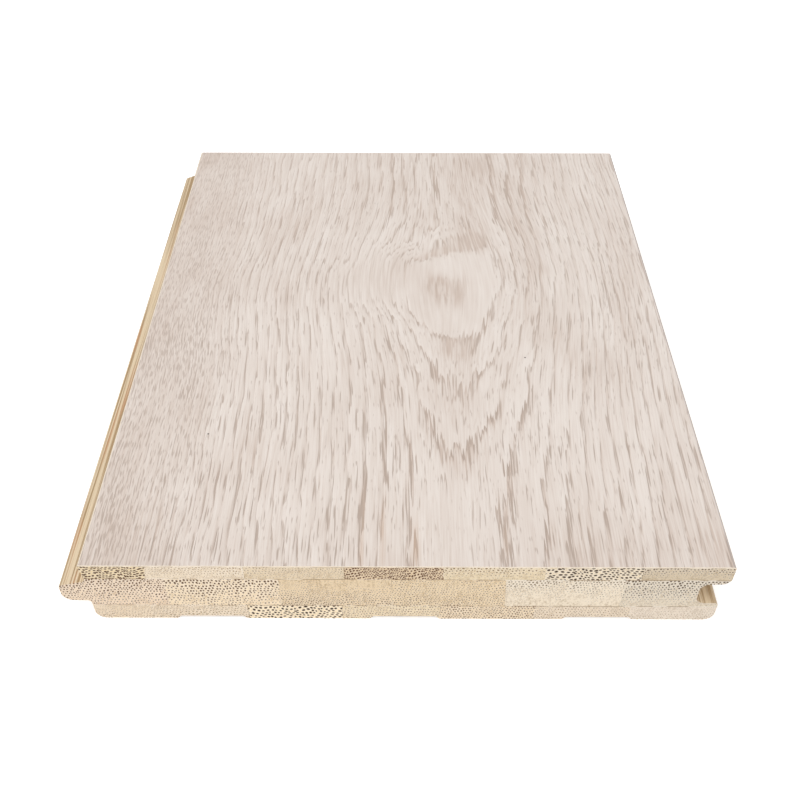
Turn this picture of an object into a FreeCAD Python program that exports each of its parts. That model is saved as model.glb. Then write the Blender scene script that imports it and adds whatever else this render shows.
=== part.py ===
import FreeCAD
import Part
import math
import os

# A short length of wide laminated floorboard: bamboo strips glued in three layers
# under a thin face veneer, with a tongue on its left long edge, a groove on its right
# long edge and a groove across its far end. Its near end is sawn flat.
# X runs across the board, Y along it from the sawn end to the grooved end, and Z up
# from the floor. The origin is the middle of the underside of the overall box.
# All lengths are in millimetres.

# Face and length of this piece
face_width = 130.0
board_length = 162.0

# Layers of the lamination, from the face down
veneer_thickness = 0.35
top_layer_thickness = 4.05
core_thickness = 8.95
base_thickness = 4.65

# Bamboo strips of each layer. The two outer strips are trimmed with the board, here to
# these widths of the face, and the joints between them are evenly spaced but for a drift,
# because the strips are not all planed to one width, nor quite square. Each joint has its
# drift at the bottom of the layer and at the top.
top_first_width = 13.4
top_last_width = 18.4
top_joint_drift = ((-0.5, 0.0), (-0.4, -0.4), (0.1, 0.0), (0.1, 0.1), (0.8, 0.7), (0.3, 0.4))
core_first_width = 16.4
core_last_width = 20.9
core_joint_drift = ((0.1, -0.1), (-0.3, -0.1), (-0.5, -0.7), (-0.6, -0.9), (-0.3, 0.1))
base_first_width = 12.5
base_last_width = 18.6
base_joint_drift = ((-0.2, 0.0), (0.1, 0.1), (-0.2, -0.1), (0.3, 0.2), (0.0, 0.1), (0.1, 0.0))

# Arrises. The bevel runs along the factory-made edges, deeper than the veneer is thick,
# and the sawn end has none.
face_bevel = 0.5
underside_radius = 2.3

# Groove, the same section on the long edge and across the end
wear_lip = 5.7
groove_height = 6.35
groove_depth = 5.8
end_groove_depth = 5.0
groove_root_radius = 1.9
wear_lip_radius = 1.9
lower_lip_setback = 1.0
lower_lip_radius = 0.8

# Tongue, which enters the groove of the next board with these gaps round it
tongue_gap_end = 0.65
tongue_gap_above = 0.3
tongue_gap_below = 0.25
tongue_slope = 14.0
tongue_top_radius = 0.9
tongue_bottom_radius = 2.3

# Shoulders above and below the tongue
upper_shoulder_undercut = 0.85
upper_shoulder_radius = 1.2
lower_shoulder_setback = 0.5
lower_shoulder_radius = 0.8

# Relief channels milled along the underside
channel_count = 3
channel_pitch = 40.1
channel_mouth = 14.6
channel_floor = 13.0
channel_depth = 0.85

# Levels above the floor
thickness = veneer_thickness + top_layer_thickness + core_thickness + base_thickness
groove_top = thickness - wear_lip
groove_floor = groove_top - groove_height
tongue_bottom = groove_floor + tongue_gap_below

# Places across and along the board
tongue_reach = groove_depth - tongue_gap_end
tongue_edge = (tongue_reach - face_width) / 2
groove_edge = tongue_edge + face_width
sawn_end = -board_length / 2
grooved_end = board_length / 2


def tongue_top(x):
    """Height of the tongue's sloped top, which clears the rounded lip of the next board."""
    lip_tangent = tongue_edge - wear_lip_radius
    rise = math.tan(math.radians(tongue_slope))
    return groove_top - tongue_gap_above + (x - lip_tangent) * rise


def grooved_side(edge, depth):
    """Corners of a grooved edge from the face down, each as (place, height, radius)."""
    root = edge - depth
    lower_lip = edge - lower_lip_setback
    return [
        (edge - face_bevel, thickness, 0),
        (edge, thickness - face_bevel, 0),
        (edge, groove_top, wear_lip_radius),
        (root, groove_top, groove_root_radius),
        (root, groove_floor, groove_root_radius),
        (lower_lip, groove_floor, lower_lip_radius),
        (lower_lip, 0, underside_radius),
    ]


def relief_channels():
    """Corners of the channels in the underside, from the groove side to the tongue side."""
    lower_shoulder = tongue_edge + lower_shoulder_setback
    lower_lip = groove_edge - lower_lip_setback
    middle = (lower_shoulder + lower_lip) / 2
    corners = []
    for i in range(channel_count):
        centre = middle + ((channel_count - 1) / 2 - i) * channel_pitch
        corners += [
            (centre + channel_mouth / 2, 0, 0),
            (centre + channel_floor / 2, channel_depth, 0),
            (centre - channel_floor / 2, channel_depth, 0),
            (centre - channel_mouth / 2, 0, 0),
        ]
    return corners


def tongued_side():
    """Corners of the tongue edge from the underside up to the face."""
    tip = tongue_edge - tongue_reach
    upper_shoulder = tongue_edge + upper_shoulder_undercut
    lower_shoulder = tongue_edge + lower_shoulder_setback
    return [
        (lower_shoulder, 0, underside_radius),
        (lower_shoulder, tongue_bottom, lower_shoulder_radius),
        (tip, tongue_bottom, tongue_bottom_radius),
        (tip, tongue_top(tip), tongue_top_radius),
        (upper_shoulder, tongue_top(upper_shoulder), upper_shoulder_radius),
        (tongue_edge, thickness - face_bevel, 0),
        (tongue_edge + face_bevel, thickness, 0),
    ]


def sawn_side():
    """Corners of the plain sawn end, from the underside up to the face."""
    return [
        (sawn_end, 0, 0),
        (sawn_end, thickness, 0),
    ]


def corner_arc(before, corner, after, radius):
    """Start, crown and end of the arc that rounds a corner between two straight runs."""
    back = (before - corner).normalize()
    ahead = (after - corner).normalize()
    half_angle = back.getAngle(ahead) / 2
    tangent = radius / math.tan(half_angle)
    crown_distance = radius / math.sin(half_angle) - radius
    crown = corner + (back + ahead).normalize() * crown_distance
    return corner + back * tangent, crown, corner + ahead * tangent


def rounded_outline(corners):
    """Closed wire in the XZ plane through the corners, with an arc where one has a radius."""
    points = [FreeCAD.Vector(x, 0, z) for x, z, _ in corners]
    arcs = []
    for i, (_, _, radius) in enumerate(corners):
        following = points[(i + 1) % len(points)]
        arcs.append(corner_arc(points[i - 1], points[i], following, radius))
    edges = []
    for i, (start, crown, end) in enumerate(arcs):
        if corners[i][2] > 0:
            edges.append(Part.Arc(start, crown, end).toShape())
        next_start = arcs[(i + 1) % len(arcs)][0]
        edges.append(Part.LineSegment(end, next_start).toShape())
    return Part.Wire(edges)


def milled_board():
    """The whole board as milled: the section across it met by the section along it."""
    groove_corners = grooved_side(groove_edge, groove_depth)
    across = rounded_outline(groove_corners + relief_channels() + tongued_side())
    along = rounded_outline(grooved_side(grooved_end, end_groove_depth) + sawn_side())
    long_bar = Part.Face(across).extrude(FreeCAD.Vector(0, board_length, 0))
    long_bar.translate(FreeCAD.Vector(0, sawn_end, 0))
    cross_bar = Part.Face(along).extrude(FreeCAD.Vector(0, 2 * face_width, 0))
    cross_bar.translate(FreeCAD.Vector(0, -face_width, 0))
    cross_bar.rotate(FreeCAD.Vector(0, 0, 0), FreeCAD.Vector(0, 0, 1), 90)
    return long_bar.common(cross_bar)


def cutting_block(left, right, bottom, height):
    """A block longer than the board, between two joints and two glue lines.

    Each joint is its place at the bottom of the layer and its place at the top.
    """
    top = bottom + height
    corners = [(left[0], bottom), (right[0], bottom), (right[1], top), (left[1], top)]
    outline = rounded_outline([(x, z, 0) for x, z in corners])
    block = Part.Face(outline).extrude(FreeCAD.Vector(0, 2 * board_length, 0))
    block.translate(FreeCAD.Vector(0, -board_length, 0))
    return block


def strip_joints(first_width, last_width, drifts):
    """Places of a layer's joints at its bottom and top, from the one nearest the tongue."""
    first = tongue_edge + first_width
    pitch = (face_width - first_width - last_width) / (len(drifts) - 1)
    joints = []
    for i, (at_bottom, at_top) in enumerate(drifts):
        even = first + i * pitch
        joints.append((even + at_bottom, even + at_top))
    return joints


def cut_layer(board, bottom, height, joints):
    """Split one layer of the board at its joints, from the tongue edge to the groove edge."""
    lefts = [(-face_width, -face_width)] + joints
    rights = joints + [(face_width, face_width)]
    sides = zip(lefts, rights)
    return [board.common(cutting_block(left, right, bottom, height)) for left, right in sides]


board = milled_board()
top_bottom = base_thickness + core_thickness
veneer_bottom = top_bottom + top_layer_thickness
top_joints = strip_joints(top_first_width, top_last_width, top_joint_drift)
core_joints = strip_joints(core_first_width, core_last_width, core_joint_drift)
base_joints = strip_joints(base_first_width, base_last_width, base_joint_drift)

layers = {
    "top_strip": cut_layer(board, top_bottom, top_layer_thickness, top_joints),
    "core_strip": cut_layer(board, base_thickness, core_thickness, core_joints),
    "base_strip": cut_layer(board, 0, base_thickness, base_joints),
}
nodes = {"face_veneer": cut_layer(board, veneer_bottom, veneer_thickness, [])[0]}
for layer_name, strips in layers.items():
    for number, strip in enumerate(strips, start=1):
        nodes[f"{layer_name}_{number}"] = strip

os.makedirs("parts", exist_ok=True)
for node_name, shape in nodes.items():
    if len(shape.Solids) != 1 or not shape.isValid():
        raise ValueError(f"{node_name} is not one sound solid")
    shape.Solids[0].exportStep(f"parts/{node_name}.step")

box = board.BoundBox
print(f"board {box.XLength:.2f} x {box.YLength:.2f} x {box.ZLength:.2f} mm, {len(nodes)} pieces")
print(f"volume of the board {board.Volume / 1000:.1f} cm3")
print(f"volume of its pieces {sum(shape.Volume for shape in nodes.values()) / 1000:.1f} cm3")
print(f"x {box.XMin:.3f} to {box.XMax:.3f}, y {box.YMin:.3f} to {box.YMax:.3f}")
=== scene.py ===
"""Looks of a short piece of wide tongue and groove floorboard.

The board is laminated from bamboo strips under a thin oak face with a brushed, limed
finish. The face is a relief mesh that follows its growth rings, and every bamboo strip
keeps its own solid and gets its own fibre bundles, fibres and glue lines.
"""

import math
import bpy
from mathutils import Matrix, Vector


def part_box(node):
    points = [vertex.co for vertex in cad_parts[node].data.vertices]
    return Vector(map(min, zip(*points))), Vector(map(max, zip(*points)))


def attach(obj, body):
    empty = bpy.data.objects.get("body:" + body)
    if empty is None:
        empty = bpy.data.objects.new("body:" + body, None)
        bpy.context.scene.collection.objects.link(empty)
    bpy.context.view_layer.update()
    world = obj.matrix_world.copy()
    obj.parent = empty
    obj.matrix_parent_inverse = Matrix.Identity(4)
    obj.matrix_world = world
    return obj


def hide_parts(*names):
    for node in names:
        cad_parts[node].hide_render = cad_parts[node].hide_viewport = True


bl_info = {
    "name": "Limed Bamboo Floorboard",
    "version": (1, 0, 0),
    "blender": (4, 5, 0),
    "location": "3D View > Sidebar > Floorboard",
    "description": "Limed oak face, bamboo strips and studio for a laminated floorboard",
    "category": "Mesh",
}

from collections import namedtuple
from functools import partial

import bmesh
import bpy
import numpy as np
from mathutils import Matrix, Vector

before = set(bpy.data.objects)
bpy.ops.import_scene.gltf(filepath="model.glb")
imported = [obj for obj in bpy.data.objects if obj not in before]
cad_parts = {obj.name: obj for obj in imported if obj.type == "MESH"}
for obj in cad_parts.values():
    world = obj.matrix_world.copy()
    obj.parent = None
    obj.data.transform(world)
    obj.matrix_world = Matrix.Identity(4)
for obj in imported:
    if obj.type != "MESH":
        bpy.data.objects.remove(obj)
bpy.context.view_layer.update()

MM = 0.001

# The face veneer as the solids give it, in metres. Its long edges and its far end slope at
# 45 degrees, so there its flat top starts one veneer thickness inside its foot.
FACE_LOW, FACE_HIGH = (Vector(corner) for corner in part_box("face_veneer"))
VENEER = FACE_HIGH.z - FACE_LOW.z

# Glue lines between the layers, in metres above the floor
GLUE_LEVELS = (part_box("core_strip_2")[0][2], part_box("core_strip_2")[1][2], FACE_LOW.z)

# Growth-ring lines of the face, drawn as listed: the ring's number, then places on it in
# millimetres from the tongue edge of the face and from its sawn end. Ring 0 is the knot's
# heart, ring 1 closes round it, and the next three are the arches below it. A number with
# a fraction lies between two rings.
RING_LINES = (
    (0.0, ((74.0, 91.0),)),
    (0.45, ((75.0, 98.0), (76.0, 82.0), (68.5, 90.0), (82.0, 92.0))),
    (1.0, ((77.0, 70.3), (73.5, 70.8), (71.0, 72.5), (68.3, 76.8), (65.8, 81.0), (80.3, 70.6),
           (82.4, 73.0), (84.6, 76.5), (86.5, 80.5), (88.2, 86.5), (89.4, 95.0), (89.4, 104.0),
           (88.0, 109.5), (85.0, 108.5), (80.5, 107.3), (77.0, 106.5), (73.0, 104.8),
           (69.5, 103.4), (66.3, 101.6))),
    (1.5, ((81.5, 120.0), (81.0, 140.0), (81.5, 162.0), (78.0, 61.5))),
    (2.0, ((78.0, 53.4), (75.5, 54.2), (73.2, 55.8), (71.8, 58.5), (70.6, 62.0), (69.0, 67.0),
           (67.3, 71.5), (64.8, 77.5), (80.3, 54.6), (82.6, 57.2), (85.2, 61.0), (88.5, 68.0),
           (91.0, 78.0), (93.6, 92.0), (94.0, 104.0), (92.8, 116.0), (90.6, 128.0),
           (90.2, 145.0), (90.5, 160.0), (74.3, 160.0), (74.2, 145.0), (74.8, 130.0),
           (74.4, 121.0), (71.0, 115.5), (69.6, 112.0), (65.0, 106.5))),
    (3.0, ((77.0, 33.2), (74.6, 34.4), (72.6, 36.0), (71.3, 38.5), (70.2, 43.0), (69.0, 49.0),
           (67.6, 56.0), (65.8, 64.0), (63.5, 72.0), (61.3, 79.0), (79.3, 35.0), (80.8, 37.8),
           (82.8, 40.2), (84.8, 43.0), (86.0, 48.0), (87.3, 54.0), (89.3, 61.0), (92.5, 72.0),
           (95.5, 84.0), (97.3, 95.0), (97.5, 105.0), (96.0, 118.0), (94.8, 130.0),
           (95.3, 145.0), (95.5, 160.0), (69.0, 160.0), (69.2, 130.0), (68.7, 121.0),
           (66.3, 113.0), (62.0, 107.5))),
    (4.0, ((75.5, -10.0), (67.5, 0.0), (67.1, 20.0), (66.5, 32.0), (65.3, 40.0), (64.0, 50.0),
           (63.0, 60.0), (60.5, 72.0), (58.8, 79.0), (83.4, 0.0), (84.2, 12.0), (85.6, 24.0),
           (87.2, 32.0), (90.0, 40.0), (92.3, 48.0), (94.2, 58.0), (96.6, 70.0), (98.8, 82.0),
           (100.6, 95.0), (100.8, 106.0), (99.5, 120.0), (99.0, 140.0), (99.8, 162.0),
           (64.6, 160.0), (65.0, 140.0), (65.6, 124.0), (62.6, 116.0), (58.5, 109.0))),
    (5.0, ((59.8, 0.0), (60.8, 20.0), (60.6, 45.0), (59.3, 62.0), (57.0, 76.0), (91.8, 0.0),
           (92.5, 10.0), (94.0, 22.0), (95.8, 34.0), (98.0, 46.0), (99.8, 60.0), (102.8, 80.0),
           (104.8, 98.0), (104.0, 120.0), (104.0, 160.0), (61.0, 160.0), (61.6, 140.0),
           (60.6, 124.0), (58.0, 115.0), (55.5, 109.0))),
    (7.0, ((53.2, 0.0), (53.0, 20.0), (52.2, 45.0), (50.4, 70.0), (101.5, 0.0), (104.5, 40.0),
           (109.0, 75.0), (110.5, 105.0), (110.5, 160.0), (54.0, 150.0), (53.0, 130.0),
           (49.5, 105.0))),
    (9.0, ((46.5, 0.0), (45.5, 40.0), (43.0, 78.0), (41.6, 96.0), (45.5, 125.0),
           (46.5, 160.0), (108.0, 0.0), (111.0, 45.0), (115.0, 85.0), (115.0, 160.0))),
    (13.0, ((35.8, 0.0), (35.5, 40.0), (33.0, 75.0), (31.5, 95.0), (35.0, 125.0),
            (35.5, 160.0), (120.8, 0.0), (122.5, 45.0), (124.0, 85.0), (124.0, 160.0))),
    (16.0, ((129.0, 0.0), (130.0, 50.0), (131.0, 100.0), (131.0, 160.0))),
    (19.0, ((20.5, 0.0), (20.0, 40.0), (18.5, 75.0), (17.5, 95.0), (20.0, 125.0),
            (20.0, 160.0))),
    (34.0, ((0.0, 0.0), (0.0, 50.0), (0.0, 100.0), (0.0, 160.0))),
)

# The thin plate through those lines is worked out in units of this many millimetres
RING_REACH = 30.0

# Middle of the knot and how far it pushes the fibres aside, in the same millimetres
KNOT = (74.0, 92.0)
KNOT_PUSH = 6.5

# Places where a ring's soft wood shows broad and dark, in the same millimetres: the middle
# of each, then how far it spreads across and along
DARK_STRETCHES = (
    (84.0, 42.0, 3.0, 6.0),
    (92.3, 46.0, 2.5, 7.0),
    (86.8, 26.0, 1.8, 7.0),
    (66.6, 8.0, 1.5, 9.0),
    (66.2, 28.0, 1.2, 10.0),
    (60.8, 34.0, 1.2, 28.0),
    (56.0, 14.0, 1.2, 14.0),
    (84.6, 9.0, 1.2, 10.0),
    (93.1, 10.0, 1.3, 12.0),
    (78.0, 29.0, 4.5, 6.5),
    (71.5, 41.0, 2.0, 6.0),
    (72.3, 57.0, 1.6, 3.5),
    (77.0, 52.5, 2.6, 3.0),
    (81.8, 56.0, 1.5, 2.5),
    (83.5, 76.0, 2.5, 5.0),
    (61.5, 142.0, 1.6, 16.0),
    (74.6, 140.0, 1.6, 20.0),
    (93.0, 104.0, 1.6, 9.0),
    (90.8, 145.0, 0.8, 12.0),
    (90.8, 126.0, 0.8, 9.0),
    (95.0, 136.0, 0.9, 12.0),
    (97.2, 110.0, 1.0, 10.0),
    (100.2, 140.0, 1.0, 16.0),
    (105.0, 130.0, 0.9, 14.0),
)

# Rusty streaks that run in from the sawn end, each with its middle and spreads as above
RUSTY_STRETCHES = (
    (56.0, 7.0, 0.4, 9.0),
    (60.2, 7.0, 0.5, 8.0),
    (66.8, 4.0, 0.9, 7.0),
    (84.9, 6.5, 0.4, 4.0),
)

# Dark specks on the face, in the same millimetres
SPECKS = ((20.6, 36.3), (93.8, 62.6))

# Where in a ring the thinner second row of pores lies, as a share of the ring
SECOND_BAND = 0.64

# How strong the pores are half way along the face, and how much of that they lose for each
# millimetre towards the far end, where the limed finish filled them more
PORE_STRENGTH = 0.64
PORE_FADE = 0.0022

# How deep the pores, the fibres and their bundles look, in metres
BUMP_DEPTH = 0.05 * MM

# Where each lamp stands and how long its sides are, in metres
KEY_LAMP = ((-0.5, -0.5, 1.2), 1.2)
FRONT_LAMP = ((0.2, -1.2, 0.5), 0.8)

# How one strip of bamboo looks: its ground and its fibre bundles as sRGB colours, the
# bundles' spacing along a row in millimetres, their half width as a share of it at the
# strip's top and bottom, the rows' distance as a share of it, a bundle's height as a share
# of its width, how far the rows lean and wander, and how strongly upright streaks show
Strip = namedtuple(
    "Strip",
    "ground bundle spacing top_size bottom_size rows tall lean wave upright",
    defaults=(1.1, 1.0, 0.2, 1.7, 0.0),
)
TOP_STRIPS = (
    Strip((230, 205, 160), (84, 54, 28), 0.68, 0.43, 0.41, rows=1.12, tall=0.85, lean=0.1, wave=3.4),
    Strip((233, 216, 192), (172, 146, 114), 0.64, 0.30, 0.18),
    Strip((223, 204, 175), (150, 124, 90), 0.66, 0.26, 0.18),
    Strip((219, 190, 148), (98, 62, 32), 0.52, 0.42, 0.40, rows=1.15, lean=0.1, wave=2.6),
    Strip((227, 209, 178), (140, 112, 74), 0.78, 0.29, 0.14),
    Strip((232, 214, 185), (70, 52, 34), 0.92, 0.36, 0.33, rows=0.92, tall=0.85, wave=2.6),
    Strip((210, 193, 167), (118, 96, 70), 0.66, 0.30, 0.14),
)
CORE_STRIPS = (
    Strip((235, 212, 185), (108, 78, 50), 0.68, 0.31, 0.22, rows=1.1, tall=1.3, lean=-0.08),
    Strip((240, 219, 188), (100, 72, 46), 0.74, 0.32, 0.20, rows=1.1, tall=1.3, lean=0.08),
    Strip((227, 205, 172), (124, 95, 60), 0.56, 0.13, 0.32, lean=0.1, wave=2.4, upright=1.2),
    Strip((228, 206, 172), (126, 96, 60), 0.60, 0.22, 0.27, lean=0.1, wave=2.4, upright=1.2),
    Strip((234, 220, 199), (134, 114, 86), 0.68, 0.29, 0.08, tall=1.2, lean=-0.1, upright=0.3),
    Strip((223, 210, 190), (98, 80, 58), 0.70, 0.32, 0.14, tall=1.2, lean=0.1),
)
BASE_STRIPS = (
    Strip((231, 212, 186), (162, 135, 102), 0.62, 0.20, 0.30),
    Strip((231, 213, 188), (164, 140, 108), 0.66, 0.25, 0.31),
    Strip((248, 228, 194), (62, 38, 18), 0.92, 0.32, 0.32, rows=0.9, tall=0.9, lean=0.1, wave=2.4),
    Strip((232, 214, 183), (136, 104, 72), 0.62, 0.24, 0.28, wave=2.6),
    Strip((232, 211, 180), (126, 96, 64), 0.62, 0.29, 0.31, lean=0.1),
    Strip((228, 211, 188), (168, 142, 112), 0.66, 0.24, 0.30),
    Strip((228, 214, 197), (182, 160, 132), 0.64, 0.20, 0.28),
)


def paint(red, green, blue):
    """A colour given as 0 to 255, as shown, in the linear values that a shader takes."""
    shown = (channel / 255 for channel in (red, green, blue))
    linear = [((c + 0.055) / 1.055) ** 2.4 if c > 0.04045 else c / 12.92 for c in shown]
    return (*linear, 1.0)


# What all colours among the properties share
COLOUR = {"subtype": "COLOR", "size": 4, "min": 0.0, "max": 1.0}


class FaceFinish(bpy.types.PropertyGroup):
    """Finish of the limed oak face."""

    limed: bpy.props.FloatVectorProperty(
        name="Limed wood",
        description="Colour of the limed wood between the pores",
        **COLOUR,
        default=paint(233, 223, 215),
    )
    pores: bpy.props.FloatVectorProperty(
        name="Pores",
        description="Colour of the open pores",
        **COLOUR,
        default=paint(176, 158, 145),
    )
    tan: bpy.props.FloatVectorProperty(
        name="Tan wood",
        description="Colour of the knot and of the warmer patches",
        **COLOUR,
        default=paint(207, 190, 178),
    )
    speck: bpy.props.FloatVectorProperty(
        name="Specks",
        description="Colour of the small dark specks",
        **COLOUR,
        default=paint(70, 60, 56),
    )
    rust: bpy.props.FloatVectorProperty(
        name="Rusty streaks",
        description="Colour of the rusty streaks by the sawn end",
        **COLOUR,
        default=paint(200, 172, 150),
    )
    arris: bpy.props.FloatVectorProperty(
        name="Arris",
        description="Colour of the veneer's cut edge",
        **COLOUR,
        default=paint(236, 222, 203),
    )
    # Painted shade: the bevel on the groove side faces away from the key lamp and gets this greyer
    # colour in place of the arris colour.
    painted_shade_arris: bpy.props.FloatVectorProperty(
        name="Painted shade arris",
        description="Colour of the veneer's bevel on the groove side",
        **COLOUR,
        default=paint(194, 184, 180),
    )
    brushed_depth: bpy.props.FloatProperty(
        name="Brushed depth",
        description="How deep the soft wood of each ring is brushed out",
        unit="LENGTH",
        min=0.0,
        max=0.0003,
        precision=6,
        default=0.07 * MM,
    )
    column: bpy.props.FloatProperty(
        name="Column",
        description="Width of the relief mesh's cells, across the grain",
        unit="LENGTH",
        min=0.0002,
        max=0.005,
        precision=6,
        default=0.3 * MM,
    )
    row: bpy.props.FloatProperty(
        name="Row",
        description="Length of the relief mesh's cells, along the grain",
        unit="LENGTH",
        min=0.0005,
        max=0.02,
        precision=6,
        default=1.2 * MM,
    )


class BambooFinish(bpy.types.PropertyGroup):
    """Finish shared by all bamboo strips."""

    glue: bpy.props.FloatVectorProperty(
        name="Glue line",
        description="Colour of the glue between the layers",
        **COLOUR,
        default=paint(142, 116, 86),
    )
    glue_width: bpy.props.FloatProperty(
        name="Glue width",
        description="Width of the glue lines",
        unit="LENGTH",
        min=0.0,
        max=0.0005,
        precision=6,
        default=0.26 * MM,
    )
    side: bpy.props.FloatVectorProperty(
        name="Milled sides",
        description="Colour of the bamboo where it is milled along its grain",
        **COLOUR,
        default=paint(227, 208, 178),
    )
    streak: bpy.props.FloatVectorProperty(
        name="Streaks",
        description="Colour of the brown fibres along the milled sides",
        **COLOUR,
        default=paint(170, 142, 106),
    )
    scorch: bpy.props.FloatVectorProperty(
        name="Scorched streaks",
        description="Colour of the fibres that the cutter has browned",
        **COLOUR,
        default=paint(188, 146, 110),
    )


class Studio(bpy.types.PropertyGroup):
    """Floor, lamps and camera."""

    floor: bpy.props.FloatVectorProperty(
        name="Floor",
        description="Colour of the floor",
        **COLOUR,
        default=(0.9, 0.9, 0.9, 1.0),
    )
    floor_size: bpy.props.FloatProperty(
        name="Floor size",
        description="Length of the floor's sides",
        unit="LENGTH",
        default=6.0,
    )
    floor_glow: bpy.props.FloatProperty(
        name="Floor glow",
        description="What the floor adds for the camera alone, so that it shows white",
        min=0.0,
        default=0.43,
    )
    sky: bpy.props.FloatProperty(
        name="Sky",
        description="Strength of the even light from all round",
        min=0.0,
        default=0.62,
    )
    key_power: bpy.props.FloatProperty(
        name="Key lamp",
        description="Power of the large lamp above",
        unit="POWER",
        min=0.0,
        default=9.0,
    )
    fill_power: bpy.props.FloatProperty(
        name="Front lamp",
        description="Power of the lamp before the sawn end",
        unit="POWER",
        min=0.0,
        default=3.0,
    )
    camera_place: bpy.props.FloatVectorProperty(
        name="Camera place",
        description="Where the camera stands",
        subtype="TRANSLATION",
        unit="LENGTH",
        default=(0.001825, -0.19634, 0.17247),
    )
    camera_turn: bpy.props.FloatVectorProperty(
        name="Camera turn",
        description="How the camera is turned",
        subtype="EULER",
        unit="ROTATION",
        default=(math.radians(46.506), 0.0, math.radians(0.229)),
    )
    camera_lens: bpy.props.FloatProperty(
        name="Camera lens",
        description="Focal length in millimetres on a 36 mm sensor",
        min=1.0,
        default=43.535,
    )


def smooth(share):
    """A share from 0 to 1, eased at both ends."""
    share = np.clip(share, 0.0, 1.0)
    return share * share * (3.0 - 2.0 * share)


def climb(values, low, high):
    """0 below low, 1 above high and eased between."""
    return smooth((values - low) / (high - low))


def hump(values, middle, spread):
    """A bell that is 1 at its middle."""
    return np.exp(-(((values - middle) / spread) ** 2))


def blotches(random, u, v, across, along):
    """Soft random patches from 0 to 1, with cells of the given size in millimetres."""
    columns = int(u.max() / across) + 4
    rows = int(v.max() / along) + 4
    lattice = random.random((columns, rows))
    column = np.floor(u / across).astype(int) + 1
    row = np.floor(v / along).astype(int) + 1
    column_part = smooth(u / across + 1 - column)
    row_part = smooth(v / along + 1 - row)
    near = lattice[column, row] * (1 - row_part) + lattice[column, row + 1] * row_part
    far = lattice[column + 1, row] * (1 - row_part) + lattice[column + 1, row + 1] * row_part
    return near * (1 - column_part) + far * column_part


def spot(u, v, middle_u, middle_v, across, along):
    """A soft spot that is 1 at its middle and fades over its spreads."""
    return hump(u, middle_u, across) * hump(v, middle_v, along)


def stretches(u, v, places):
    """A field that is 1 at the middle of each stretch and fades over its spreads."""
    return np.clip(sum(spot(u, v, *place) for place in places), 0.0, 1.0)


def plate_bend(squared):
    """How a thin plate bends at a squared distance from a point that holds it."""
    return squared * np.log(squared + 1e-9)


def ring_numbers(u, v):
    """Growth-ring number at each place: a thin plate bent through the listed lines."""
    places = np.array([place for _, line in RING_LINES for place in line]) / RING_REACH
    rings = np.array([ring for ring, line in RING_LINES for _ in line])
    count = len(rings)
    apart = ((places[:, None, :] - places[None, :, :]) ** 2).sum(axis=2)
    slope = np.hstack([np.ones((count, 1)), places])
    system = np.zeros((count + 3, count + 3))
    system[:count, :count] = plate_bend(apart)
    system[:count, count:] = slope
    system[count:, :count] = slope.T
    weights = np.linalg.solve(system, np.concatenate([rings, np.zeros(3)]))
    u_reach = u / RING_REACH
    v_reach = v / RING_REACH
    numbers = weights[count] + weights[count + 1] * u_reach + weights[count + 2] * v_reach
    for (place_u, place_v), weight in zip(places, weights[:count]):
        squared = (u_reach - place_u) ** 2 + (v_reach - place_v) ** 2
        numbers += weight * plate_bend(squared)
    return numbers


def early_wood(rings):
    """1 in the soft band at the start of each ring, falling to 0 through the ring."""
    phase = rings - np.floor(rings)
    return climb(phase, 0.0, 0.07) * (1 - climb(phase, 0.1, 0.36))


def fibre_line(u, v):
    """Which fibre passes each place, as its place across the face where it is straight."""
    side = np.tanh((u - KNOT[0]) / 11.0)
    pushed = KNOT_PUSH * side * spot(u, v, *KNOT, across=60.0, along=34.0)
    widened = 3.0 * climb(u, 80.0, 105.0) * climb(v, 20.0, 120.0)
    return u - pushed - widened


def knot_marks(u, v, drawn):
    """The knot and what lies round it, as soft masks by name.

    Heart is its dark middle, over and under are tan patches close to its far and its near
    side, swirl is plain wood on its tongue side, and crown and brow are tan wood past it.
    """
    over = climb(drawn, 0.98, 1.04) * (1 - climb(drawn, 1.12, 1.35)) * climb(v, 98.0, 104.0)
    over *= climb(u, 66.0, 71.0) * (1 - climb(u, 86.0, 90.0))
    under = climb(drawn, 0.98, 1.03) * hump(u, 77.8, 3.4) * climb(v, 60.0, 65.0)
    under *= 1 - climb(v, 72.0, 76.0)
    swirl = np.exp(-(((u - 57.0) / 8.5) ** 2 + ((v - 95.0) / 11.0) ** 2) ** 2)
    crown = hump(u, 84.0, 4.5) * climb(v, 105.0, 110.0) * (1 - 0.5 * climb(v, 114.0, 124.0))
    return {
        "knot": 1 - climb(drawn, 0.82, 0.98),
        "heart": spot(u, v, 73.0, 91.5, 2.2, 3.8) + 0.5 * spot(u, v, 76.5, 88.5, 4.0, 6.0),
        "over": over,
        "under": under,
        "swirl": swirl,
        "crown": crown,
        "brow": spot(u, v, 73.5, 107.0, 3.0, 2.6),
    }


def tan_wood(u, v, marks, patches):
    """Where the wood is warmer: round the knot, in patches, far away and by the sawn end."""
    tan = 1.6 * marks["heart"] + 0.8 * marks["crown"] + 0.8 * marks["over"]
    tan += 1.1 * marks["under"] + 0.35 * marks["swirl"] + 0.7 * marks["brow"]
    tan += 0.5 * spot(u, v, 101.8, 99.0, 2.0, 2.5) + 0.35 * spot(u, v, 77.5, 29.0, 5.0, 6.0)
    tan += np.clip(1.1 * (patches - 0.5), 0.0, 0.45)
    tan += (0.05 + 0.18 * hump(u, 62.0, 28.0)) * climb(v, 100.0, 130.0)
    tan += 0.12 * (1 - climb(v, 2.0, 20.0)) + 0.12 * (1 - climb(v, 0.0, 7.0))
    tan += 0.2 * climb(u, 95.0, 110.0) * (1 - climb(v, 3.0, 16.0))
    return np.clip(tan, 0.0, 1.0)


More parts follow.
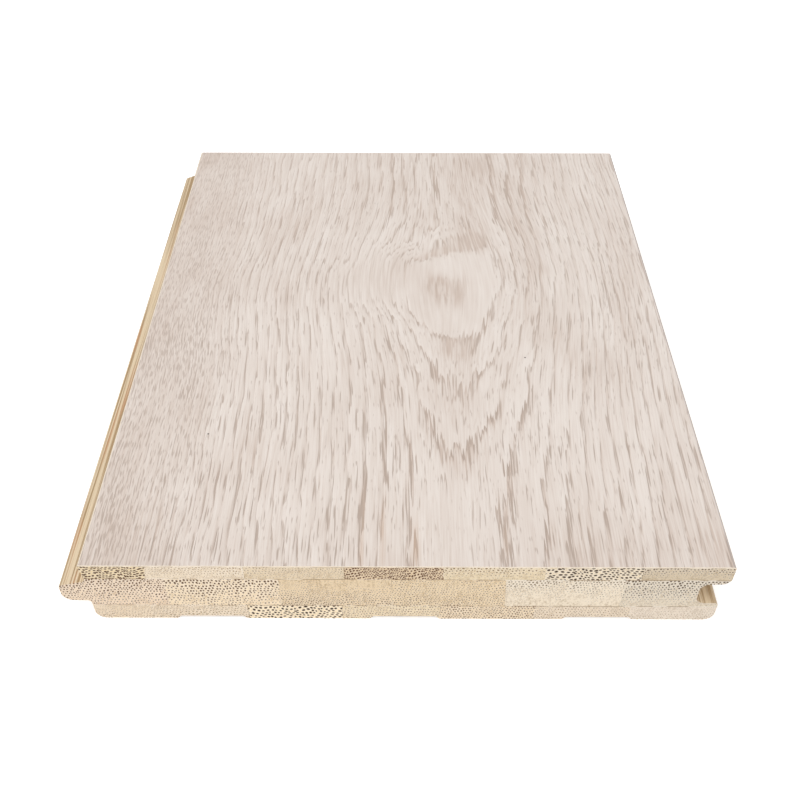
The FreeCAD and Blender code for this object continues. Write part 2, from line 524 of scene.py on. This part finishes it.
def calm_wood(u, v, marks):
    """Where the wood is plain, with few pores and little relief: in the knot and round it."""
    calm = 0.9 * marks["knot"] + 0.9 * marks["swirl"] + 0.75 * marks["over"]
    calm += 0.6 * marks["under"] + 0.6 * marks["brow"] - 0.4 * marks["heart"]
    calm += 0.45 * hump(u, 76.0, 7.0) * (1 - climb(v, 16.0, 25.0))
    calm += 0.35 * spot(u, v, 77.0, 52.0, 5.0, 6.0)
    return np.clip(calm, 0.0, 1.0)


def face_grain(u, v):
    """The face's grain at each place, as named fields, for its relief and its colour."""
    random = np.random.default_rng(7)
    drawn = ring_numbers(u, v)
    marks = knot_marks(u, v, drawn)
    wobble = blotches(random, u, v, across=2.2, along=7.0) - 0.5
    large_patches = blotches(random, u, v, across=14.0, along=30.0)
    small_patches = blotches(random, u, v, across=5.0, along=12.0)
    patches = 0.6 * large_patches + 0.4 * small_patches
    return {
        "rings": drawn + 0.28 * wobble,
        "fibre": fibre_line(u, v),
        "calm": calm_wood(u, v, marks),
        "tan": tan_wood(u, v, marks, patches),
        "arches": hump(u, 76.0, 14.0),
        "dark": stretches(u, v, DARK_STRETCHES),
        "rust": stretches(u, v, RUSTY_STRETCHES),
        "edge_grain": 1 - climb(u + 10.0 * (patches - 0.5), 7.0, 27.0),
    }


def add_node(tree, kind, **settings):
    """A new node of a kind, with its settings."""
    node = tree.nodes.new(kind)
    for setting, value in settings.items():
        setattr(node, setting, value)
    return node


def feed(tree, socket, value):
    """Gives an input another node's output, or a plain value."""
    if isinstance(value, bpy.types.NodeSocket):
        tree.links.new(value, socket)
    else:
        socket.default_value = value


def maths(tree, operation, *values):
    """One step of arithmetic on sockets or plain numbers."""
    node = add_node(tree, "ShaderNodeMath", operation=operation)
    for socket, value in zip(node.inputs, values):
        feed(tree, socket, value)
    return node.outputs[0]


def total(tree, value, *others):
    """The sum of sockets or plain numbers."""
    for other in others:
        value = maths(tree, "ADD", value, other)
    return value


def product(tree, value, *others):
    """The product of sockets or plain numbers."""
    for other in others:
        value = maths(tree, "MULTIPLY", value, other)
    return value


def inverse(tree, share):
    """What a share leaves of 1."""
    return maths(tree, "SUBTRACT", 1.0, share)


def clamped(tree, share):
    """A share kept between 0 and 1."""
    return maths(tree, "MINIMUM", maths(tree, "MAXIMUM", share, 0.0), 1.0)


def swing(tree, noise, weight, middle=0.5):
    """How far a noise is off its middle, times a weight."""
    return product(tree, maths(tree, "SUBTRACT", noise, middle), weight)


def eased(tree, value, low, high):
    """0 below low, 1 above high and eased between."""
    node = add_node(tree, "ShaderNodeMapRange", interpolation_type="SMOOTHSTEP")
    feed(tree, node.inputs["Value"], value)
    feed(tree, node.inputs["From Min"], low)
    feed(tree, node.inputs["From Max"], high)
    return node.outputs["Result"]


def blend(tree, share, first, second):
    """A mix of two colours, through the colour sockets among the node's many."""
    node = add_node(tree, "ShaderNodeMix", data_type="RGBA")
    feed(tree, node.inputs[0], share)
    feed(tree, node.inputs[6], first)
    feed(tree, node.inputs[7], second)
    return node.outputs[2]


def parts_of(tree, vector):
    """The X, Y and Z of a vector."""
    node = add_node(tree, "ShaderNodeSeparateXYZ")
    feed(tree, node.inputs[0], vector)
    return node.outputs


def vector_of(tree, *parts):
    """A vector from its X, Y and Z, or from the first of them."""
    node = add_node(tree, "ShaderNodeCombineXYZ")
    for socket, part in zip(node.inputs, parts):
        feed(tree, socket, part)
    return node.outputs[0]


def attribute(tree, name):
    """A value stored on the mesh."""
    return add_node(tree, "ShaderNodeAttribute", attribute_name=name).outputs["Fac"]


def place_in_mm(tree):
    """The place on the piece, in millimetres."""
    scaled = add_node(tree, "ShaderNodeVectorMath", operation="SCALE")
    feed(tree, scaled.inputs[0], add_node(tree, "ShaderNodeTexCoord").outputs["Object"])
    feed(tree, scaled.inputs["Scale"], 1 / MM)
    return scaled.outputs[0]


def facing(tree):
    """How far the surface faces each way, as the X, Y and Z of its normal."""
    return parts_of(tree, add_node(tree, "ShaderNodeTexCoord").outputs["Normal"])


def new_group(name, inputs, outputs):
    """A node group that takes a place and numbers and gives numbers, and its two ends."""
    group = bpy.data.node_groups.new(name, "ShaderNodeTree")
    group.interface.new_socket("Place", in_out="INPUT", socket_type="NodeSocketVector")
    for socket_name in inputs:
        group.interface.new_socket(socket_name, in_out="INPUT", socket_type="NodeSocketFloat")
    for socket_name in outputs:
        group.interface.new_socket(socket_name, in_out="OUTPUT", socket_type="NodeSocketFloat")
    given = add_node(group, "NodeGroupInput")
    result = add_node(group, "NodeGroupOutput")
    return group, given.outputs, result.inputs


def use_group(tree, name, **values):
    """A group placed in a tree, with its inputs fed by their names."""
    node = add_node(tree, "ShaderNodeGroup", node_tree=bpy.data.node_groups[name])
    for socket_name, value in values.items():
        feed(tree, node.inputs[socket_name], value)
    return node.outputs


def build_grain_group():
    """Noise drawn out along the wood: its cells' width, length and height are given in mm."""
    inputs = ("Across", "Along", "Up", "Seed", "Detail")
    group, given, result = new_group("Drawn Out Grain", inputs, outputs=("Value",))
    scaled = add_node(group, "ShaderNodeVectorMath", operation="DIVIDE")
    feed(group, scaled.inputs[0], given["Place"])
    feed(group, scaled.inputs[1], vector_of(group, given["Across"], given["Along"], given["Up"]))
    noise = add_node(group, "ShaderNodeTexNoise", noise_dimensions="4D")
    feed(group, noise.inputs["Vector"], scaled.outputs[0])
    feed(group, noise.inputs["W"], given["Seed"])
    feed(group, noise.inputs["Scale"], 1.0)
    feed(group, noise.inputs["Detail"], given["Detail"])
    feed(group, result["Value"], noise.outputs["Fac"])


def grain_noise(tree, place, across, along, up, seed, detail=0.0):
    """The drawn-out noise at a place in mm."""
    outputs = use_group(
        tree, "Drawn Out Grain", Place=place, Across=across, Along=along, Up=up,
        Seed=seed, Detail=detail,
    )
    return outputs["Value"]


def build_bundle_group():
    """Fibre bundles of bamboo, which run along the strip and show as dots on its ends.

    They stand in staggered, slightly wandering rows. Spacing is in mm, along a row, and
    Rows is the distance between the rows as a share of it. Size is a bundle's half width
    as a share of the spacing, Tall its height as a share of its width, Lean how far the
    rows shift for each mm up, and Wave how far they wander. Bundles masks the dark
    bundles, and Sheaths the paler ground close round them.
    """
    inputs = ("Spacing", "Rows", "Size", "Tall", "Lean", "Wave", "Seed")
    group, given, result = new_group("Fibre Bundles", inputs, outputs=("Bundles", "Sheaths"))
    parts = parts_of(group, given["Place"])

    def wander(reach, seed_step):
        seed = total(group, given["Seed"], seed_step)
        noise = grain_noise(group, given["Place"], across=4.0, along=80.0, up=4.0, seed=seed)
        return swing(group, noise, product(group, given["Wave"], reach))

    def counted(measure, distance, seed_shift):
        steps = maths(group, "DIVIDE", measure, distance)
        return total(group, steps, product(group, given["Seed"], seed_shift))

    row_distance = product(group, given["Spacing"], given["Rows"])
    height = total(group, parts["Z"], wander(reach=1.0, seed_step=0.8))
    row = counted(height, row_distance, seed_shift=3.17)
    leaning = product(group, parts["Z"], given["Lean"])
    across = total(group, parts["X"], leaning, wander(reach=0.6, seed_step=0.5))
    column = counted(across, given["Spacing"], seed_shift=7.31)
    staggered = vector_of(group, total(group, column, product(group, row, 0.5)), row)
    cells = add_node(group, "ShaderNodeTexVoronoi", voronoi_dimensions="2D")
    feed(group, cells.inputs["Vector"], staggered)
    feed(group, cells.inputs["Scale"], 1.0)
    feed(group, cells.inputs["Randomness"], 0.38)

    away = add_node(group, "ShaderNodeVectorMath", operation="SUBTRACT")
    feed(group, away.inputs[0], cells.outputs["Position"])
    feed(group, away.inputs[1], staggered)
    steps_away = parts_of(group, away.outputs[0])
    beside = maths(group, "SUBTRACT", steps_away["X"], product(group, steps_away["Y"], 0.5))
    above = maths(group, "DIVIDE", product(group, steps_away["Y"], given["Rows"]), given["Tall"])
    squares = total(group, product(group, beside, beside), product(group, above, above))
    distance = maths(group, "SQRT", squares)
    chance = add_node(group, "ShaderNodeSeparateColor")
    feed(group, chance.inputs[0], cells.outputs["Color"])
    uneven = total(group, 0.8, product(group, chance.outputs[0], 0.4))
    size = product(group, given["Size"], uneven)

    def within(inner, outer):
        low = product(group, size, inner)
        high = product(group, size, outer)
        return inverse(group, eased(group, distance, low, high))

    feed(group, result["Bundles"], within(0.6, 1.25))
    feed(group, result["Sheaths"], within(1.3, 2.1))


def cleared_tree(owner):
    """The node tree of a material or a world, emptied."""
    owner.use_nodes = True
    owner.node_tree.nodes.clear()
    return owner.node_tree


def new_wood(name):
    """A new material, its node tree and its shader."""
    material = bpy.data.materials.new(name)
    tree = cleared_tree(material)
    shader = add_node(tree, "ShaderNodeBsdfPrincipled")
    output = add_node(tree, "ShaderNodeOutputMaterial")
    tree.links.new(shader.outputs[0], output.inputs["Surface"])
    return material, tree, shader


def dress_wood(tree, shader, colour, roughness, gloss, height):
    """Gives a wood's shader its colour, roughness, gloss and fine relief."""
    feed(tree, shader.inputs["Base Color"], colour)
    feed(tree, shader.inputs["Roughness"], roughness)
    shader.inputs["Specular IOR Level"].default_value = gloss
    bump = add_node(tree, "ShaderNodeBump")
    bump.inputs["Distance"].default_value = BUMP_DEPTH
    feed(tree, bump.inputs["Height"], height)
    feed(tree, shader.inputs["Normal"], bump.outputs[0])


def ring_bands(tree, grain):
    """Masks of the growth rings.

    Band is the soft wood at the start of a ring, broad the same with a longer tail, dark the
    broad band where it shows dark, and second a thinner band later in the ring. Edge is the
    fine grain by the tongue edge, where the bands are faint.
    """
    edge = attribute(tree, "edge_grain")
    off_edge = inverse(tree, product(tree, edge, 0.6))
    reach = total(tree, 0.6, product(tree, attribute(tree, "arches"), 0.35))
    ragged = swing(tree, grain(across=0.5, along=9.0, seed=61.0), reach)
    phase = maths(tree, "FRACT", total(tree, attribute(tree, "rings"), ragged))
    rise = eased(tree, phase, 0.0, 0.08)
    tail = inverse(tree, eased(tree, phase, 0.08, 0.36))
    long_tail = inverse(tree, eased(tree, phase, 0.15, 0.55))
    broad = product(tree, rise, long_tail, off_edge)
    off_second = maths(tree, "ABSOLUTE", maths(tree, "SUBTRACT", phase, SECOND_BAND))
    return {
        "band": product(tree, rise, tail, off_edge),
        "broad": broad,
        "dark": product(tree, attribute(tree, "dark"), broad),
        "second": inverse(tree, eased(tree, off_second, 0.03, 0.14)),
        "edge": edge,
    }


def open_pores(tree, grain, bands, streaks):
    """Mask of the pores: long and short ones, and the strokes that the bands break up into."""
    crowd = maths(tree, "SUBTRACT", grain(across=6.0, along=30.0, seed=51.0), 0.5)
    masks = {**bands, "crowd": crowd}

    # Dashes show where the noise passes a limit, which each mask lowers by its weight
    def dashes(noise, limit, ease, **weights):
        for name, weight in weights.items():
            limit = maths(tree, "SUBTRACT", limit, product(tree, masks[name], weight))
        return eased(tree, noise, limit, total(tree, limit, ease))

    long_pores = dashes(
        grain(across=0.38, along=9.0, seed=3.0), limit=0.72, ease=0.13,
        band=0.22, second=0.13, dark=0.17, crowd=0.2,
    )
    short_pores = dashes(
        grain(across=0.32, along=2.6, seed=11.0), limit=0.685, ease=0.14,
        band=0.12, second=0.07, dark=0.08, edge=0.15, crowd=0.2,
    )
    pores = maths(tree, "MAXIMUM", long_pores, product(tree, short_pores, 0.75))
    strokes = eased(tree, grain(across=1.5, along=12.0, seed=71.0, detail=1.0), 0.43, 0.55)
    strokes = product(tree, strokes, eased(tree, bands["band"], 0.2, 0.8))
    strength = total(tree, 0.25, product(tree, streaks, 0.7))
    strength = total(tree, strength, product(tree, attribute(tree, "arches"), -0.15))
    return maths(tree, "MAXIMUM", pores, product(tree, strokes, strength))


def tan_share(tree, grain, bands, awake, streaky, fibres):
    """How tan the wood is, from 0 to 1."""
    arches = attribute(tree, "arches")
    band_tan = total(
        tree,
        product(tree, bands["broad"], inverse(tree, arches), 0.4),
        product(tree, bands["band"], arches, 0.7),
        product(tree, bands["dark"], 0.8),
        product(tree, bands["second"], 0.25),
    )
    tan = total(tree, attribute(tree, "tan"), product(tree, band_tan, awake))
    tan = total(
        tree,
        product(tree, tan, streaky),
        product(tree, bands["edge"], 0.3),
        swing(tree, fibres, 0.9, middle=0.35),
        swing(tree, grain(across=8.0, along=26.0, seed=31.0, detail=2.0), 0.8),
    )
    return clamped(tree, tan)


def with_specks(tree, wood, parts, colour):
    """The wood's colour with the small dark specks on it."""
    for speck_u, speck_v in SPECKS:
        away = add_node(tree, "ShaderNodeVectorMath", operation="DISTANCE")
        feed(tree, away.inputs[0], vector_of(tree, parts["X"], parts["Y"]))
        feed(tree, away.inputs[1], (FACE_LOW.x / MM + speck_u, FACE_LOW.y / MM + speck_v, 0.0))
        speck = inverse(tree, eased(tree, away.outputs["Value"], 0.14, 0.28))
        wood = blend(tree, product(tree, speck, 0.9), wood, colour)
    return wood


def limed_oak(finish):
    """Limed oak: pale wood with tan, streaky bands of early wood and fine open pores."""
    material, tree, shader = new_wood("limed_oak")
    parts = parts_of(tree, place_in_mm(tree))
    on_fibre = vector_of(tree, attribute(tree, "fibre"), parts["Y"])
    grain = partial(grain_noise, tree, on_fibre, up=1.0)
    fibres = grain(across=0.45, along=14.0, seed=21.0, detail=1.5)
    streaks = eased(tree, grain(across=0.35, along=11.0, seed=41.0, detail=1.0), 0.38, 0.62)
    streaky = total(tree, 0.35, product(tree, streaks, 0.65))
    awake = inverse(tree, attribute(tree, "calm"))
    strength = total(tree, PORE_STRENGTH, product(tree, parts["Y"], -PORE_FADE))
    bands = ring_bands(tree, grain)
    pores = product(tree, awake, strength, open_pores(tree, grain, bands, streaks))

    tan = tan_share(tree, grain, bands, awake, streaky, fibres)
    wood = blend(tree, tan, finish.limed, finish.tan)
    wood = blend(tree, pores, wood, finish.pores)
    rusty = product(tree, streaky, 0.7, attribute(tree, "rust"))
    wood = blend(tree, rusty, wood, finish.rust)
    wood = with_specks(tree, wood, parts, finish.speck)
    faces = facing(tree)
    on_face = eased(tree, faces["Z"], 0.8, 0.9)
    # The bevel that faces the groove side, away from the key lamp, gets the greyer colour as painted
    # shade.
    groove_shade = eased(tree, faces["X"], 0.3, 0.5)
    cut_edge = blend(tree, groove_shade, finish.arris, finish.painted_shade_arris)
    wood = blend(tree, on_face, cut_edge, wood)

    roughness = total(tree, 0.5, product(tree, pores, 0.3))
    height = maths(tree, "SUBTRACT", product(tree, fibres, 0.3), pores)
    dress_wood(tree, shader, wood, roughness, gloss=0.3, height=height)
    return material


def shades(look):
    """A strip's ground colour, with a darker and a paler one that go with it."""
    ground = paint(*look.ground)
    darker = tuple(share * channel for share, channel in zip((0.66, 0.6, 0.52), ground[:3]))
    paler = tuple(1 - 0.72 * (1 - channel) for channel in ground[:3])
    return ground, (*darker, 1.0), (*paler, 1.0)


def bundle_masks(tree, place, look, share_up, seed):
    """Masks of a strip's fibre bundles and of their sheaths, both gone where they are tiny."""
    growth = product(tree, share_up, look.top_size - look.bottom_size)
    size = total(tree, growth, look.bottom_size)
    dots = use_group(
        tree, "Fibre Bundles", Place=place, Spacing=look.spacing, Rows=look.rows, Size=size,
        Tall=look.tall, Lean=look.lean, Wave=look.wave, Seed=seed,
    )
    shown = eased(tree, size, 0.02, 0.3)
    bundles = product(tree, dots["Bundles"], shown)
    sheaths = product(tree, shown, 0.8, dots["Sheaths"])
    return bundles, sheaths


def cut_end(tree, grain, look, bundles, sheaths, seed):
    """Colour of a strip where its fibres are cut across."""
    ground, darker, paler = shades(look)
    speckle = grain(across=0.26, along=60.0, up=0.34, seed=seed + 9.5)
    mottle = grain(across=0.6, along=60.0, up=0.7, seed=seed + 6.5, detail=1.0)
    upright = grain(across=0.3, along=60.0, up=2.5, seed=seed + 7.5, detail=1.0)
    clouds = grain(across=6.0, along=70.0, up=3.0, seed=seed + 8.0, detail=1.0)
    shade = total(
        tree,
        0.18,
        swing(tree, speckle, 1.8),
        swing(tree, mottle, 1.8),
        swing(tree, upright, 2.0 * look.upright),
        swing(tree, clouds, 1.0),
    )
    cut = blend(tree, clamped(tree, shade), ground, darker)
    cut = blend(tree, sheaths, cut, paler)
    return blend(tree, bundles, cut, paint(*look.bundle))


def milled_side(tree, grain, fibres, seed, finish):
    """Colour of a strip where it is milled along its fibres."""
    streaks = grain(across=0.5, along=40.0, up=0.5, seed=seed + 17.0, detail=1.5)
    shade = total(tree, eased(tree, streaks, 0.4, 0.64), swing(tree, fibres, 1.4))
    scorched = grain(across=2.0, along=22.0, up=2.0, seed=seed + 27.0, detail=1.0)
    brown = blend(tree, eased(tree, scorched, 0.5, 0.62), finish.streak, finish.scorch)
    return blend(tree, clamped(tree, shade), finish.side, brown)


def glue_mask(tree, parts, joints, width):
    """Mask of the glue lines between the layers and at a strip's own joints."""
    half_width = width / MM / 2
    lines = [(parts["Z"], level) for level in GLUE_LEVELS]
    lines += [(parts["X"], joint) for joint in joints]
    glue = 0.0
    for measure, line_place in lines:
        off = maths(tree, "ABSOLUTE", maths(tree, "SUBTRACT", measure, line_place / MM))
        line = inverse(tree, eased(tree, off, half_width * 0.4, half_width))
        glue = maths(tree, "MAXIMUM", line, glue)
    return glue


def bamboo(name, look, low, high, joints, seed, finish):
    """Bamboo of one strip: fibre bundles, fine fibres along it and its glue lines.

    The marks in the glue have one seed on all strips, so they agree across a glue line.
    """
    material, tree, shader = new_wood(name)
    place = place_in_mm(tree)
    parts = parts_of(tree, place)
    grain = partial(grain_noise, tree, place)
    above = maths(tree, "SUBTRACT", parts["Z"], low / MM)
    share_up = maths(tree, "DIVIDE", above, (high - low) / MM)
    uneven = grain(across=4.0, along=90.0, up=2.5, seed=seed + 0.3)
    share_up = clamped(tree, total(tree, share_up, swing(tree, uneven, 0.8)))
    bundles, sheaths = bundle_masks(tree, place, look, share_up, seed)
    fibres = grain(across=0.22, along=30.0, up=0.22, seed=seed + 5.0, detail=1.0)

    cut = cut_end(tree, grain, look, bundles, sheaths, seed)
    side = milled_side(tree, grain, fibres, seed, finish)
    end_grain = eased(tree, maths(tree, "ABSOLUTE", facing(tree)["Y"]), 0.5, 0.8)
    wood = blend(tree, end_grain, side, cut)
    glue_noise = grain(across=4.0, along=60.0, up=4.0, seed=13.0, detail=1.5)
    paler = shades(look)[2]
    glue_colour = blend(tree, eased(tree, glue_noise, 0.46, 0.54), paler, finish.glue)
    glue = product(tree, glue_mask(tree, parts, joints, finish.glue_width), 0.85)
    wood = blend(tree, glue, wood, glue_colour)

    roughness = total(tree, 0.58, product(tree, fibres, 0.2))
    height = maths(tree, "SUBTRACT", product(tree, fibres, 0.5), bundles)
    dress_wood(tree, shader, wood, roughness, gloss=0.25, height=height)
    return material


def close_sheet(bm, middle, flat_width, flat_length):
    """Draws the flat top's border down to its wider foot, and closes the back."""
    border = [edge for edge in bm.edges if edge.is_boundary]
    extruded = bmesh.ops.extrude_edge_only(bm, edges=border)["geom"]
    foot = [part for part in extruded if isinstance(part, bmesh.types.BMVert)]
    spread = (1 + 2 * VENEER / flat_width, 1 + VENEER / flat_length, 0.0)
    from_sawn_edge = Matrix.Translation((-middle, -FACE_LOW.y, 0.0))
    bmesh.ops.scale(bm, vec=spread, space=from_sawn_edge, verts=foot)
    bmesh.ops.translate(bm, vec=(0.0, 0.0, FACE_LOW.z), verts=foot)
    rim = [edge for edge in bm.edges if edge.is_boundary]
    bmesh.ops.contextual_create(bm, geom=rim)
    bmesh.ops.recalc_face_normals(bm, faces=bm.faces)


def brushed_face_mesh(finish):
    """The face as a closed sheet: brushed relief on top, sloped edges and a flat back."""
    flat_width = FACE_HIGH.x - FACE_LOW.x - 2 * VENEER
    flat_length = FACE_HIGH.y - FACE_LOW.y - VENEER
    middle = (FACE_LOW.x + FACE_HIGH.x) / 2
    bm = bmesh.new()
    bmesh.ops.create_grid(
        bm,
        x_segments=round(flat_width / finish.column),
        y_segments=round(flat_length / finish.row),
        size=0.5,
    )
    bmesh.ops.scale(bm, vec=(flat_width, flat_length, 1.0), verts=bm.verts)
    flat_middle = (middle, FACE_LOW.y + flat_length / 2, FACE_HIGH.z)
    bmesh.ops.translate(bm, vec=flat_middle, verts=bm.verts)
    u = np.array([(vert.co.x - FACE_LOW.x) / MM for vert in bm.verts])
    v = np.array([(vert.co.y - FACE_LOW.y) / MM for vert in bm.verts])
    fields = face_grain(u, v)
    depths = finish.brushed_depth * early_wood(fields["rings"]) * (1 - fields["calm"])
    for vert, depth in zip(bm.verts, depths):
        vert.co.z -= depth
    for name, values in fields.items():
        layer = bm.verts.layers.float.new(name)
        for vert, value in zip(bm.verts, values):
            vert[layer] = value
    close_sheet(bm, middle, flat_width, flat_length)
    mesh = bpy.data.meshes.new("limed_face")
    bm.to_mesh(mesh)
    bm.free()
    return mesh


def finish_strips(layer, looks, finish, first_seed):
    """Gives each strip of a layer the bamboo that its look names."""
    for number, look in enumerate(looks, start=1):
        name = f"{layer}_strip_{number}"
        low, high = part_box(name)
        joints = [low[0]] if number > 1 else []
        if number < len(looks):
            joints.append(high[0])
        material = bamboo(
            f"bamboo_{name}", look, low[2], high[2], joints, first_seed + number, finish,
        )
        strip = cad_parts[name]
        strip.data.materials.clear()
        strip.data.materials.append(material)


class FLOORBOARD_OT_face(bpy.types.Operator):
    """Make the limed oak face with its brushed grain"""

    bl_idname = "floorboard.face"
    bl_label = "Limed Face"

    def execute(self, context):
        finish = context.scene.floorboard_face
        face = bpy.data.objects.new("limed_face", brushed_face_mesh(finish))
        context.scene.collection.objects.link(face)
        face.data.materials.append(limed_oak(finish))
        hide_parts("face_veneer")
        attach(face, "root")
        return {"FINISHED"}


class FLOORBOARD_OT_top_strips(bpy.types.Operator):
    """Finish the bamboo strips of the top layer"""

    bl_idname = "floorboard.top_strips"
    bl_label = "Top Strips"

    def execute(self, context):
        finish_strips("top", TOP_STRIPS, context.scene.floorboard_bamboo, first_seed=100)
        return {"FINISHED"}


class FLOORBOARD_OT_core_strips(bpy.types.Operator):
    """Finish the bamboo strips of the core, with its tongue and grooves"""

    bl_idname = "floorboard.core_strips"
    bl_label = "Core Strips"

    def execute(self, context):
        finish_strips("core", CORE_STRIPS, context.scene.floorboard_bamboo, first_seed=200)
        return {"FINISHED"}


class FLOORBOARD_OT_base_strips(bpy.types.Operator):
    """Finish the bamboo strips of the base, with its relief channels"""

    bl_idname = "floorboard.base_strips"
    bl_label = "Base Strips"

    def execute(self, context):
        finish_strips("base", BASE_STRIPS, context.scene.floorboard_bamboo, first_seed=300)
        return {"FINISHED"}


def pale_floor(studio):
    """A matt floor that shows white to the camera and keeps the board's shadow."""
    material = bpy.data.materials.new("pale_floor")
    tree = cleared_tree(material)
    matt = add_node(tree, "ShaderNodeBsdfDiffuse")
    matt.inputs["Color"].default_value = studio.floor
    glow = add_node(tree, "ShaderNodeEmission")
    rays = add_node(tree, "ShaderNodeLightPath")
    seen = product(tree, rays.outputs["Is Camera Ray"], studio.floor_glow)
    feed(tree, glow.inputs["Strength"], seen)
    both = add_node(tree, "ShaderNodeAddShader")
    tree.links.new(matt.outputs[0], both.inputs[0])
    tree.links.new(glow.outputs[0], both.inputs[1])
    output = add_node(tree, "ShaderNodeOutputMaterial")
    tree.links.new(both.outputs[0], output.inputs["Surface"])
    return material


def add_floor(context, studio):
    """A large flat floor at the level that the board lies on."""
    bm = bmesh.new()
    bmesh.ops.create_grid(bm, x_segments=1, y_segments=1, size=studio.floor_size / 2)
    mesh = bpy.data.meshes.new("studio_floor")
    bm.to_mesh(mesh)
    bm.free()
    mesh.materials.append(pale_floor(studio))
    floor = bpy.data.objects.new("studio_floor", mesh)
    context.scene.collection.objects.link(floor)


def add_sky(context, studio):
    """Even light from all round, which shows white to the camera and in reflections."""
    world = bpy.data.worlds.new("studio_sky")
    context.scene.world = world
    tree = cleared_tree(world)
    light = add_node(tree, "ShaderNodeBackground")
    light.inputs["Color"].default_value = (1.0, 1.0, 1.0, 1.0)
    light.inputs["Strength"].default_value = studio.sky
    shown = add_node(tree, "ShaderNodeBackground")
    shown.inputs["Color"].default_value = (1.0, 1.0, 1.0, 1.0)
    rays = add_node(tree, "ShaderNodeLightPath")
    seen = maths(tree, "MAXIMUM", rays.outputs["Is Camera Ray"], rays.outputs["Is Glossy Ray"])
    seen = maths(tree, "MAXIMUM", seen, rays.outputs["Is Transmission Ray"])
    mix = add_node(tree, "ShaderNodeMixShader")
    feed(tree, mix.inputs[0], seen)
    tree.links.new(light.outputs[0], mix.inputs[1])
    tree.links.new(shown.outputs[0], mix.inputs[2])
    output = add_node(tree, "ShaderNodeOutputWorld")
    tree.links.new(mix.outputs[0], output.inputs["Surface"])


def add_lamp(context, name, place, size, power):
    """A soft square lamp that points at the board."""
    lamp = bpy.data.lights.new(name, "AREA")
    lamp.size = size
    lamp.energy = power
    holder = bpy.data.objects.new(name, lamp)
    holder.location = place
    holder.rotation_euler = (-Vector(place)).to_track_quat("-Z", "Y").to_euler()
    context.scene.collection.objects.link(holder)


def add_camera(context, studio):
    """The camera before the sawn end, looking down on the face."""
    camera = bpy.data.cameras.new("photo_camera")
    camera.lens = studio.camera_lens
    camera.sensor_width = 36.0
    camera.clip_start = 0.01
    holder = bpy.data.objects.new("photo_camera", camera)
    holder.location = studio.camera_place
    holder.rotation_euler = studio.camera_turn
    context.scene.collection.objects.link(holder)
    context.scene.camera = holder


class FLOORBOARD_OT_stage(bpy.types.Operator):
    """Make the pale floor, the soft light and the camera"""

    bl_idname = "floorboard.stage"
    bl_label = "Studio"

    def execute(self, context):
        studio = context.scene.floorboard_studio
        context.scene.view_settings.view_transform = "Standard"
        add_floor(context, studio)
        add_sky(context, studio)
        add_lamp(context, "key_lamp", *KEY_LAMP, studio.key_power)
        add_lamp(context, "front_lamp", *FRONT_LAMP, studio.fill_power)
        add_camera(context, studio)
        return {"FINISHED"}


OPERATORS = (
    FLOORBOARD_OT_stage,
    FLOORBOARD_OT_face,
    FLOORBOARD_OT_top_strips,
    FLOORBOARD_OT_core_strips,
    FLOORBOARD_OT_base_strips,
)


class FLOORBOARD_PT_panel(bpy.types.Panel):
    """Pieces of the floorboard and its studio"""

    bl_idname = "FLOORBOARD_PT_panel"
    bl_label = "Floorboard"
    bl_space_type = "VIEW_3D"
    bl_region_type = "UI"
    bl_category = "Floorboard"

    def draw(self, context):
        for operator in OPERATORS:
            self.layout.operator(operator.bl_idname)


PROPERTY_GROUPS = {
    "floorboard_face": FaceFinish,
    "floorboard_bamboo": BambooFinish,
    "floorboard_studio": Studio,
}


def register():
    for name, group in PROPERTY_GROUPS.items():
        bpy.utils.register_class(group)
        setattr(bpy.types.Scene, name, bpy.props.PointerProperty(type=group))
    for operator in OPERATORS:
        bpy.utils.register_class(operator)
    bpy.utils.register_class(FLOORBOARD_PT_panel)


def unregister():
    bpy.utils.unregister_class(FLOORBOARD_PT_panel)
    for operator in reversed(OPERATORS):
        bpy.utils.unregister_class(operator)
    for name, group in PROPERTY_GROUPS.items():
        delattr(bpy.types.Scene, name)
        bpy.utils.unregister_class(group)


def main():
    register()
    build_grain_group()
    build_bundle_group()
    bpy.ops.floorboard.stage()
    bpy.ops.floorboard.face()
    bpy.ops.floorboard.top_strips()
    bpy.ops.floorboard.core_strips()
    bpy.ops.floorboard.base_strips()


if __name__ == "__main__":
    main()
